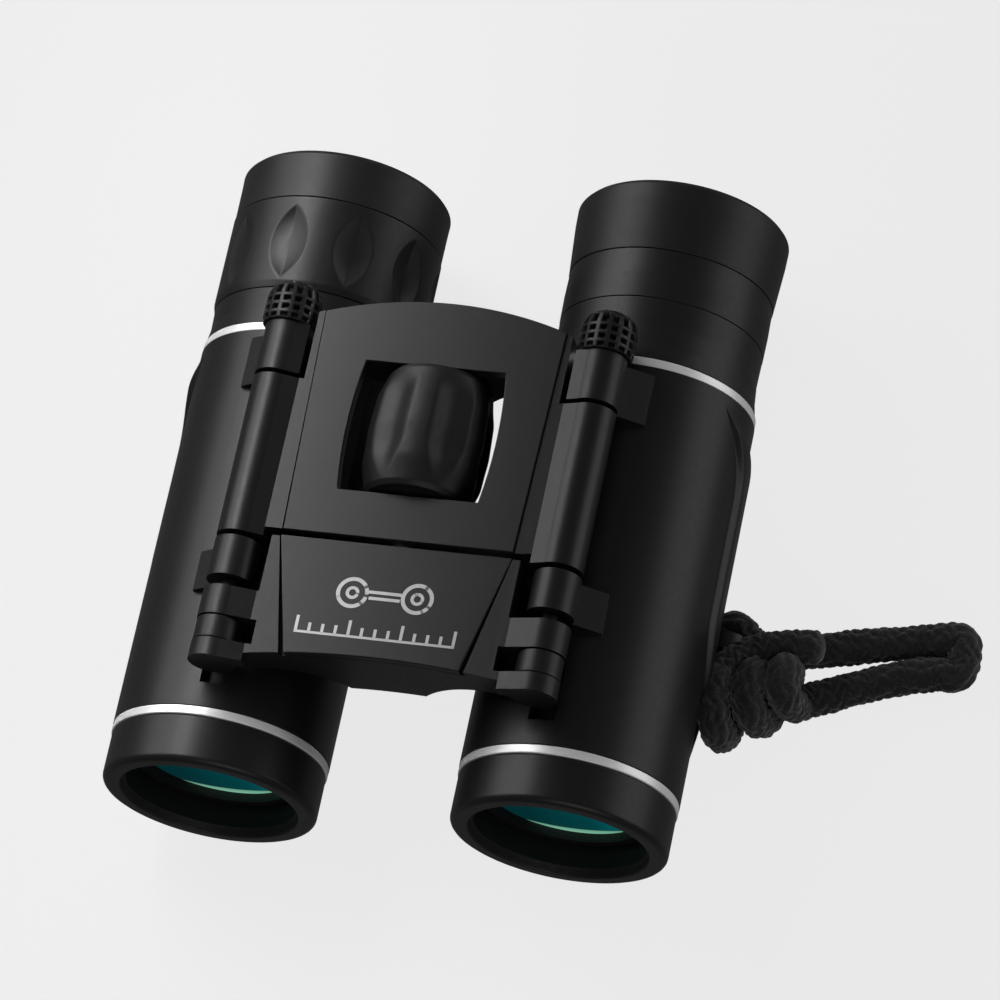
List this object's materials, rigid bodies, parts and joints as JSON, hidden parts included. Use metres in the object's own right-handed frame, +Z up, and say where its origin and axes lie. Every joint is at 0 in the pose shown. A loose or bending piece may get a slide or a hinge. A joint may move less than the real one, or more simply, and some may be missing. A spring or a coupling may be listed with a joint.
{
  "type": "folding binoculars",
  "caption": "Compact folding roof-prism binoculars with a hinged barrel each side of a bridge, a focus wheel in its window, a dioptre ring and a cord strap.",
  "frame": {"origin": "on the surface the binoculars lie on, midway between the barrels and midway along their length", "axes": "+Y from the objectives to the eyepieces, +X to the user's left, +Z up, away from the barrels towards the bridge's cover"},
  "size_m": [0.1195, 0.095, 0.041],
  "materials": {
    "satin_shell": "soft satin black",
    "moulded_black": "fine matt moulded",
    "rubber_black": "matt",
    "bright_trim": "bright",
    "inner_black": "flat black",
    "steel": "blackened",
    "brass": "turned",
    "coated_glass": "green coated",
    "prism_glass": "polished",
    "strap_cord": "knitted"
  },
  "bodies": {
    "bridge": {"bridge_frame": "moulded_black", "bridge_cover": "moulded_black", "left_hinge_pin": "steel", "right_hinge_pin": "steel", "left_hinge_knob": "moulded_black", "right_hinge_knob": "moulded_black", "screw_bushes": "brass", "cover_screws": "steel"},
    "focus_wheel": {"focus_wheel_grip": "rubber_black", "focus_wheel_core": "inner_black", "focus_screw": "steel"},
    "carriage": {"focus_carriage": "moulded_black", "nameplate": "moulded_black", "carriage_nut": "brass"},
    "left_barrel": {"left_barrel_shell": "satin_shell", "left_front_bezel": "rubber_black", "left_front_trim_ring": "bright_trim", "left_rear_trim_ring": "bright_trim", "left_grip_pad": "satin_shell", "left_prism_cage": "inner_black", "left_half_penta_prism": "prism_glass", "left_roof_prism": "prism_glass", "left_prism_retainer": "inner_black", "left_eyepiece_housing": "moulded_black", "left_eyecup": "rubber_black", "left_ocular_cell": "inner_black", "left_field_lens": "coated_glass", "left_eye_lens": "coated_glass", "left_ocular_retainer": "inner_black", "left_collar_ring": "moulded_black", "strap_loop": "strap_cord", "strap_hank": "strap_cord", "strap_lead": "strap_cord", "strap_knot": "strap_cord"},
    "right_barrel": {"right_barrel_shell": "satin_shell", "right_front_bezel": "rubber_black", "right_front_trim_ring": "bright_trim", "right_rear_trim_ring": "bright_trim", "right_grip_pad": "satin_shell", "right_prism_cage": "inner_black", "right_half_penta_prism": "prism_glass", "right_roof_prism": "prism_glass", "right_prism_retainer": "inner_black", "right_eyepiece_housing": "moulded_black", "right_eyecup": "rubber_black"},
    "left_objective": {"left_objective_cell": "inner_black", "left_objective_lens": "coated_glass", "left_objective_retainer": "inner_black", "left_focus_arm": "moulded_black"},
    "right_objective": {"right_objective_cell": "inner_black", "right_objective_lens": "coated_glass", "right_objective_retainer": "inner_black", "right_focus_arm": "moulded_black"},
    "dioptre": {"dioptre_ring": "moulded_black"},
    "right_ocular": {"right_ocular_cell": "inner_black", "right_field_lens": "coated_glass", "right_eye_lens": "coated_glass", "right_ocular_retainer": "inner_black", "drive_pin": "steel"}
  },
  "joints": [
    {"name": "left_barrel_fold", "type": "hinge", "parent": "bridge", "child": "left_barrel", "pos_m": [0.0228, 0, 0.03495], "axis": [0, -1, 0], "range_deg": [-20, 33]},
    {"name": "right_barrel_fold", "type": "hinge", "parent": "bridge", "child": "right_barrel", "pos_m": [-0.0228, 0, 0.03495], "axis": [0, 1, 0], "range_deg": [-20, 33]},
    {"name": "focus_wheel_turn", "type": "hinge", "parent": "bridge", "child": "focus_wheel", "pos_m": [0, 0, 0.03235], "axis": [0, 1, 0], "range_deg": [-61, 263]},
    {"name": "carriage_slide", "type": "slide", "parent": "bridge", "child": "carriage", "axis": [0, -1, 0], "range_m": [-0.0008, 0.0035]},
    {"name": "left_objective_focus", "type": "slide", "parent": "left_barrel", "child": "left_objective", "axis": [0, -1, 0], "range_m": [-0.0008, 0.0035]},
    {"name": "right_objective_focus", "type": "slide", "parent": "right_barrel", "child": "right_objective", "axis": [0, -1, 0], "range_m": [-0.0008, 0.0035]},
    {"name": "dioptre_turn", "type": "hinge", "parent": "right_barrel", "child": "dioptre", "pos_m": [-0.0251, 0, 0.0154], "axis": [0, 1, 0], "range_deg": [-50.5, 50.5]},
    {"name": "right_ocular_slide", "type": "slide", "parent": "right_barrel", "child": "right_ocular", "axis": [0, 1, 0], "range_m": [-0.00125, 0.00125]}
  ],
  "couplings": [
    {"joint": "focus_wheel_turn", "follows": "carriage_slide", "rad_per_m": 1309},
    {"joint": "left_objective_focus", "follows": "carriage_slide", "ratio": 1},
    {"joint": "right_objective_focus", "follows": "carriage_slide", "ratio": 1},
    {"joint": "dioptre_turn", "follows": "right_ocular_slide", "rad_per_m": 699.3}
  ]
}
